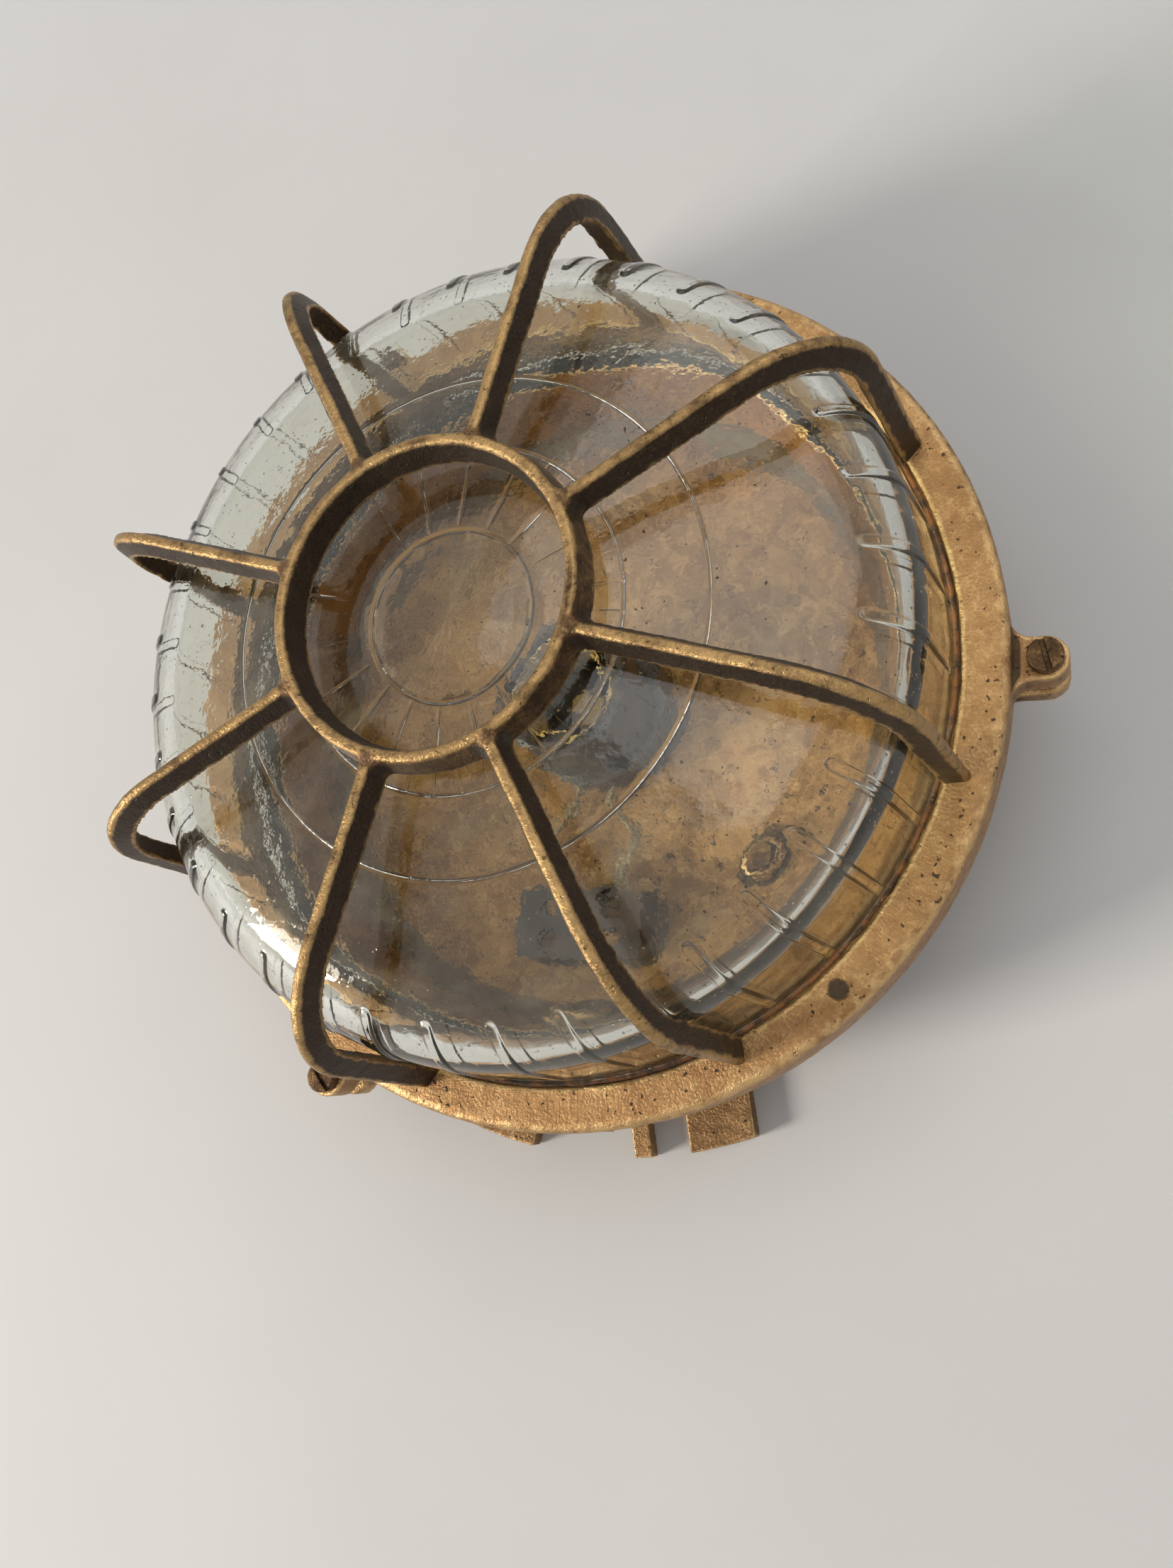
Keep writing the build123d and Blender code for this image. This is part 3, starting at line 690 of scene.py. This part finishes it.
def apply_tree(piece, tree, inputs):
    modifier = piece.modifiers.new(tree.name, "NODES")
    modifier.node_group = tree
    for item in tree.interface.items_tree:
        if item.in_out == "INPUT" and item.name in inputs:
            modifier[item.identifier] = inputs[item.name]
    return plain_mesh(piece, piece.name)


def stored(sheet, name):
    return sheet.node("GeometryNodeInputNamedAttribute", {"data_type": "FLOAT"}, {"Name": name})


def vector(sheet, operation, first, second):
    key = "Scale" if operation == "SCALE" else 1
    return sheet.node("ShaderNodeVectorMath", {"operation": operation}, {0: first, key: second})


print("helpers for geometry trees ready")

# %% [markdown]
# The glass itself is clear with a trace of green. Where the hot glass ran round the shoulder of
# the mould it has flow lines, and the inside is a little crinkled. What makes it look old is on
# its surface: a thin dull film, streaks and brown specks. The film is a second shader that a mask
# mixes in. For shadow rays the glass turns transparent, so that the lamps light the inside of the
# fitting as they do through a real dome.

# %% The glass finish
glass_finish, sheet = new_sheet("glass")
place = object_place(sheet)
waves = cloud(sheet, place, 34, 3, 0.5)
ripple = cloud(sheet, place, 150, 3, 0.55)
specks = step(sheet, cloud(sheet, place, 620, 2, 0.5), 0.73, 0.75)
film = step(sheet, cloud(sheet, place, 26, 5, 0.62, 0.6), 0.42, 0.8)
scratch_place = sheet.node("ShaderNodeMapping", {}, {"Vector": place, "Rotation": (0.3, 0.2, 0.9),
                                                     "Scale": (1400, 60, 60)})
scratches = step(sheet, cloud(sheet, scratch_place, 1.0, 2, 0.5), 0.7, 0.76)
inner_side = step(sheet, 0 - attribute(sheet, "side"), 0.2, 0.8)
crinkle = cloud(sheet, place, 480, 3, 0.6)
seeds = sheet.node("ShaderNodeTexVoronoi", {}, {"Vector": place, "Scale": 330})
pimples = 1 - step(sheet, seeds, 0.04, 0.14)
x, y, z = axes(sheet, place)
level = step(sheet, z, 0.086, 0.104)
fine = ripple * (0.2 + inner_side * 0.5) + crinkle * (0.02 + inner_side * 0.05)
turn = x.math("ARCTAN2", y, x)
lines = sheet.node("ShaderNodeCombineXYZ", {}, {
    0: turn * 4, 1: z * 170, 2: (x * x + y * y) * 600})
flow = cloud(sheet, lines, 1.0, 2, 0.5, 0.3)
shoulder = step(sheet, z, 0.07, 0.084) * step(sheet, z, 0.1125, 0.107)
relief = (waves * (0.3 + level * 0.7) + fine * (0.1 + level * 0.9) + flow * shoulder * 0.3
          + pimples * 0.15)
clear = surface(sheet, Base_Color=colour("f3f6f1"), Transmission_Weight=1.0, IOR=1.5,
                Roughness=0.015 + film * 0.05 + scratches * 0.12,
                Normal=bumped(sheet, relief, 0.0008, 0.4))
soil = surface(sheet, Base_Color=mixed(sheet, specks, colour("b9ab92"), colour("2b2015")),
               Roughness=0.7)
disc = step(sheet, x * x + y * y, 0.00043, 0.0004) * inner_side * (film + 0.4)
streaks = step(sheet, flow + (ripple - 0.5) * 0.4, 0.5, 0.75) * shoulder
cover = specks * 0.85 + film * 0.07 + streaks * 0.1 + scratches * 0.06 + disc * 0.06
dirty = sheet.node("ShaderNodeMixShader", {}, {0: cover, 1: clear, 2: soil})
shadow = sheet.node("ShaderNodeLightPath", {}, {}, 1)
through = sheet.node("ShaderNodeBsdfTransparent", {}, {"Color": colour("f4f7f1")})
output(sheet, sheet.node("ShaderNodeMixShader", {}, {0: shadow, 1: dirty, 2: through}))
print("made", glass_finish.name)

# %% Press the marks into the glass
BEAD_SIDES, BEAD_FADE, BEAD_NOSE = (0.66, 1.0), (56.0, 66.0), 1.35
ARC = pi / 180

glass_inputs = {"Beads": float(BEADS), "First Bead": FIRST_BEAD, "Bead Start": 100.6,
                "Bead Height": 0.46, "Bead Half Width": 1.6, "Ring Height": 0.5,
                "Tick Height": 0.3, "Disc Height": 0.5, "Waviness": 0.16, "Finish": glass_finish}
tree, sheet, given = geometry_sheet("pressed_marks", glass_inputs)
around, out = stored(sheet, "around"), stored(sheet, "out")
up, side = stored(sheet, "up"), stored(sheet, "side")
outside, inside = step(sheet, side, 0.2, 0.8), step(sheet, 0 - side, 0.2, 0.8)
spot = sheet.node("GeometryNodeInputPosition")
ragged = cloud(sheet, spot, 160, 2) - 0.5

pitch = 360 / given["Beads"]
angle = around - given["First Bead"] + pitch * 0.5
sideways = abs(angle.math("FLOORED_MODULO", angle, pitch) - pitch * 0.5) * out * ARC
before = (up - given["Bead Start"]) * BEAD_NOSE
before = before.math("MAXIMUM", before, 0.0)
off = before.math("SQRT", sideways * sideways + before * before) / given["Bead Half Width"]
bead = (1 - step(sheet, off, *BEAD_SIDES)) * step(sheet, up, *BEAD_FADE) * outside
bead = bead * given["Bead Height"]

rings = 0
for radius, width, level in RINGS:
    off = abs(out - radius - ragged * (0.5 if radius < 30 else 0.1)) / width
    rings = rings + (1 - step(sheet, off, 0.1, 1.0)) * level
pairs = around - given["First Bead"] + pitch
tick_off = abs(pairs.math("FLOORED_MODULO", pairs, pitch * 2) - pitch) * out * ARC
uneven = step(sheet, cloud(sheet, spot, 34, 2), 0.38, 0.62)
tick = uneven * (1 - step(sheet, tick_off, 0.1, 0.5))
tick = tick * step(sheet, out, 23.5, 25) * step(sheet, 37 - out, 0, 1.5)
small = uneven * (1 - step(sheet, sideways, 0.1, 0.5))
small = small * step(sheet, out, 36.5, 38) * step(sheet, 41.5 - out, 0, 0.5)
disc = step(sheet, 20.4 - out - ragged * 0.5, 0.0, 0.9) * given["Disc Height"]
ticks = (tick + small * 0.7) * given["Tick Height"]
inner_marks = (rings * given["Ring Height"] + ticks + disc) * inside
wave = (cloud(sheet, spot, 28, 2, 0.5) - 0.5) * given["Waviness"] * (outside + inside * 2.5)
lift = (bead + inner_marks + wave) * MM
moved = sheet.node("GeometryNodeSetPosition", {}, {
    "Geometry": given["Geometry"],
    "Offset": vector(sheet, "SCALE", sheet.node("GeometryNodeInputNormal"), lift)})
geometry_end(sheet, moved, given["Finish"])
mesh = apply_tree(glass, tree, glass_inputs)
mesh.set_sharp_from_angle(angle=radians(50))
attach(glass, "glass")
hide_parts("glass_dome")
print("pressed glass with", len(mesh.polygons), "faces")

# %% [markdown]
# ## The old sealing line
#
# Between glass and rim an old sealing compound has squeezed up and gone rusty brown. It follows
# the rim as a lumpy bead: a circle, pushed about by noise, swept with a small round profile whose
# size varies too.

# %% Sealing compound along the rim
seal_finish, sheet = new_sheet("old_seal")
place = object_place(sheet)
lumps, fine = cloud(sheet, place, 240, 4), cloud(sheet, place, 1500, 3)
x, y, z = axes(sheet, place)
rust = mixed(sheet, step(sheet, lumps, 0.35, 0.65), colour("33200f"), colour("79491f"))
damp = step(sheet, x + (lumps - 0.5) * 0.06, 0.05, -0.03)
rust = mixed(sheet, damp * 0.85, rust, colour("1f1812"))
rust = mixed(sheet, step(sheet, fine, 0.55, 0.75) * 0.5, rust, colour("a87c4c"))
output(sheet, surface(sheet, Base_Color=rust, Roughness=0.86,
                      Normal=bumped(sheet, lumps + fine * 0.4, 0.0004)))

seal_inputs = {"Radius": 107.75 * MM, "Level": 53.2 * MM, "Thickness": 0.7 * MM,
               "Finish": seal_finish}
tree, sheet, given = geometry_sheet("squeezed_seal", seal_inputs)
circle = sheet.node("GeometryNodeCurvePrimitiveCircle", {}, {
    "Resolution": 420, "Radius": given["Radius"]})
spot = sheet.node("GeometryNodeInputPosition")
height = given["Level"] + (cloud(sheet, spot, 120, 3) - 0.5) * 0.0026
shift = sheet.node("ShaderNodeCombineXYZ", {}, {"Z": height})
circle = sheet.node("GeometryNodeSetPosition", {}, {"Geometry": circle, "Offset": shift})
size = 0.55 + step(sheet, cloud(sheet, spot, 190, 3), 0.3, 0.7) * 0.5
profile = sheet.node("GeometryNodeCurvePrimitiveCircle", {}, {
    "Resolution": 10, "Radius": given["Thickness"]})
tube = sheet.node("GeometryNodeCurveToMesh", {}, {
    "Curve": circle, "Profile Curve": profile, "Scale": size})
geometry_end(sheet, tube, given["Finish"])
seal = add_piece("rim_seal", bpy.data.meshes.new("rim_seal"))
mesh = apply_tree(seal, tree, seal_inputs)
mesh.shade_smooth()
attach(seal, "glass")
print("sealing line with", len(mesh.polygons), "faces")

# %% [markdown]
# ## The small pieces
#
# Gland, lampholder, terminals, inner screws and gaskets keep their CAD shapes and get a finish
# each: turned brass with fine tool marks, brown moulding compound, bright contact brass, a woven
# sleeve on the leads and dusty rubber.

# %% Finishes of the small pieces
def turned_brass(name, skin, dark, bare):
    material, sheet = new_sheet(name)
    place = object_place(sheet)
    patches, grain = cloud(sheet, place, 110, 4, 0.6), cloud(sheet, place, 900, 3)
    tone = step(sheet, patches, 0.38, 0.66)
    base = mixed(sheet, tone, colour(dark), colour(skin))
    flecks = step(sheet, grain * 0.6 + patches * 0.4, 0.52, 0.66)
    base = mixed(sheet, flecks * 0.6, base, colour(bare))
    output(sheet, surface(sheet, Base_Color=base, Metallic=0.65 + flecks * 0.3,
                          Roughness=0.5 - flecks * 0.15 + (grain - 0.5) * 0.2,
                          Normal=bumped(sheet, grain + patches, 0.0002, 0.5)))
    return material


def moulded(name, tone, light, rough):
    material, sheet = new_sheet(name)
    place = object_place(sheet)
    swirl, grain = cloud(sheet, place, 90, 5, 0.6, 1.2), cloud(sheet, place, 700, 3)
    base = mixed(sheet, step(sheet, swirl, 0.4, 0.75) * 0.7, colour(tone), colour(light))
    output(sheet, surface(sheet, Base_Color=base, Roughness=rough + (swirl - 0.5) * 0.25,
                          Normal=bumped(sheet, grain, 0.00006, 0.25)))
    return material


def sleeve(name, tone, light):
    material, sheet = new_sheet(name)
    place = object_place(sheet)
    weave = sheet.node("ShaderNodeTexVoronoi", {}, {"Vector": place, "Scale": 1600})
    base = mixed(sheet, step(sheet, weave, 0.1, 0.7), colour(light), colour(tone))
    output(sheet, surface(sheet, Base_Color=base, Roughness=0.9,
                          Normal=bumped(sheet, 1 - weave, 0.0004)))
    return material


def dress(finish, *nodes):
    for node in nodes:
        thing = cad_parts[node]
        if not thing.material_slots:
            thing.data.materials.append(finish)
        for place in thing.material_slots:
            place.material = finish
    print(finish.name, "on", ", ".join(nodes))


dress(turned_brass("gland_brass", "a5854f", "6b5332", "cfae72"),
      "gland_body", "gland_washer", "gland_nut")
dress(turned_brass("inner_screw_brass", "76532f", "3d2919", "b38a55"), "holder_screws",
      "terminal_screws", "terminal_fixing", "earth_screw", "earth_washer")
contact_finish = turned_brass("contact_brass", "c9a765", "8d6f3e", "e2c68d")
dress(contact_finish, "centre_contact")
dress(moulded("moulding", "24170f", "4a2f1d", 0.38), "lampholder", "terminal_block")
dress(moulded("gasket_rubber", "201d1a", "4d463d", 0.82),
      "base_gasket", "glass_gasket", "gland_seal")
dress(sleeve("lead_sleeve", "6d5a41", "b7a47f"), "live_lead", "neutral_lead")

# %% [markdown]
# ## The rolled thread of the lamp shell
#
# The shell that takes the lamp's cap is thin brass, and its coarse round thread is rolled into it:
# inside and outside move together, so the wall keeps its thickness. That is a rule, so a tree does
# it. The plain tube is turned from an outline like the dome, and each point moves in or out with
# its height and its angle, less and less towards both ends. The foot under it, with its notches
# for the screw heads, is the lower end of the CAD shell.

# %% Roll the thread
low, high = [corner.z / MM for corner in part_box("lamp_shell")]
START, INSIDE, SHEET = low + 1.7, 13.5, 0.8
ROW, COLUMN, RUN_OUT = 0.4, 5.0, (0, 2.5)
heights = np.arange(START, high - 0.1, ROW)
lip = [(INSIDE + SHEET * 0.75, high), (INSIDE + SHEET * 0.25, high)]
line = np.array([(INSIDE, z) for z in heights] + lip[::-1]
                + [(INSIDE + SHEET, z) for z in heights[::-1]])
skin = np.array([-1.0] * len(heights) + [0.0, 0.0] + [1.0] * len(heights))
shell = turned("shell_tube", line, skin, np.arange(0, 360, COLUMN))

thread_inputs = {"Pitch": 3.6, "Depth": 0.5, "Low": START + 1.0, "High": high - 1.0,
                 "Finish": contact_finish}
tree, sheet, given = geometry_sheet("rolled_thread", thread_inputs)
around, up, side = [stored(sheet, name) for name in ("around", "up", "side")]
phase = (up / given["Pitch"] - around / 360) * (2 * pi)
ends = step(sheet, up - given["Low"], *RUN_OUT) * step(sheet, given["High"] - up, *RUN_OUT)
wave = phase.math("SINE", phase) * given["Depth"] * ends * side * MM
moved = sheet.node("GeometryNodeSetPosition", {}, {
    "Geometry": given["Geometry"],
    "Offset": vector(sheet, "SCALE", sheet.node("GeometryNodeInputNormal"), wave)})
geometry_end(sheet, moved, given["Finish"])
mesh = apply_tree(shell, tree, thread_inputs)
mesh.set_sharp_from_angle(angle=radians(50))
foot = add_piece("shell_foot", solid_copy("lamp_shell", START * MM, False))
foot.data.materials.append(contact_finish)
for piece in (shell, foot):
    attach(piece, "base")
    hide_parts("lamp_shell")
print("lamp shell with", len(mesh.polygons), "faces, from", round(START, 1), "to", round(high, 1),
      "mm")
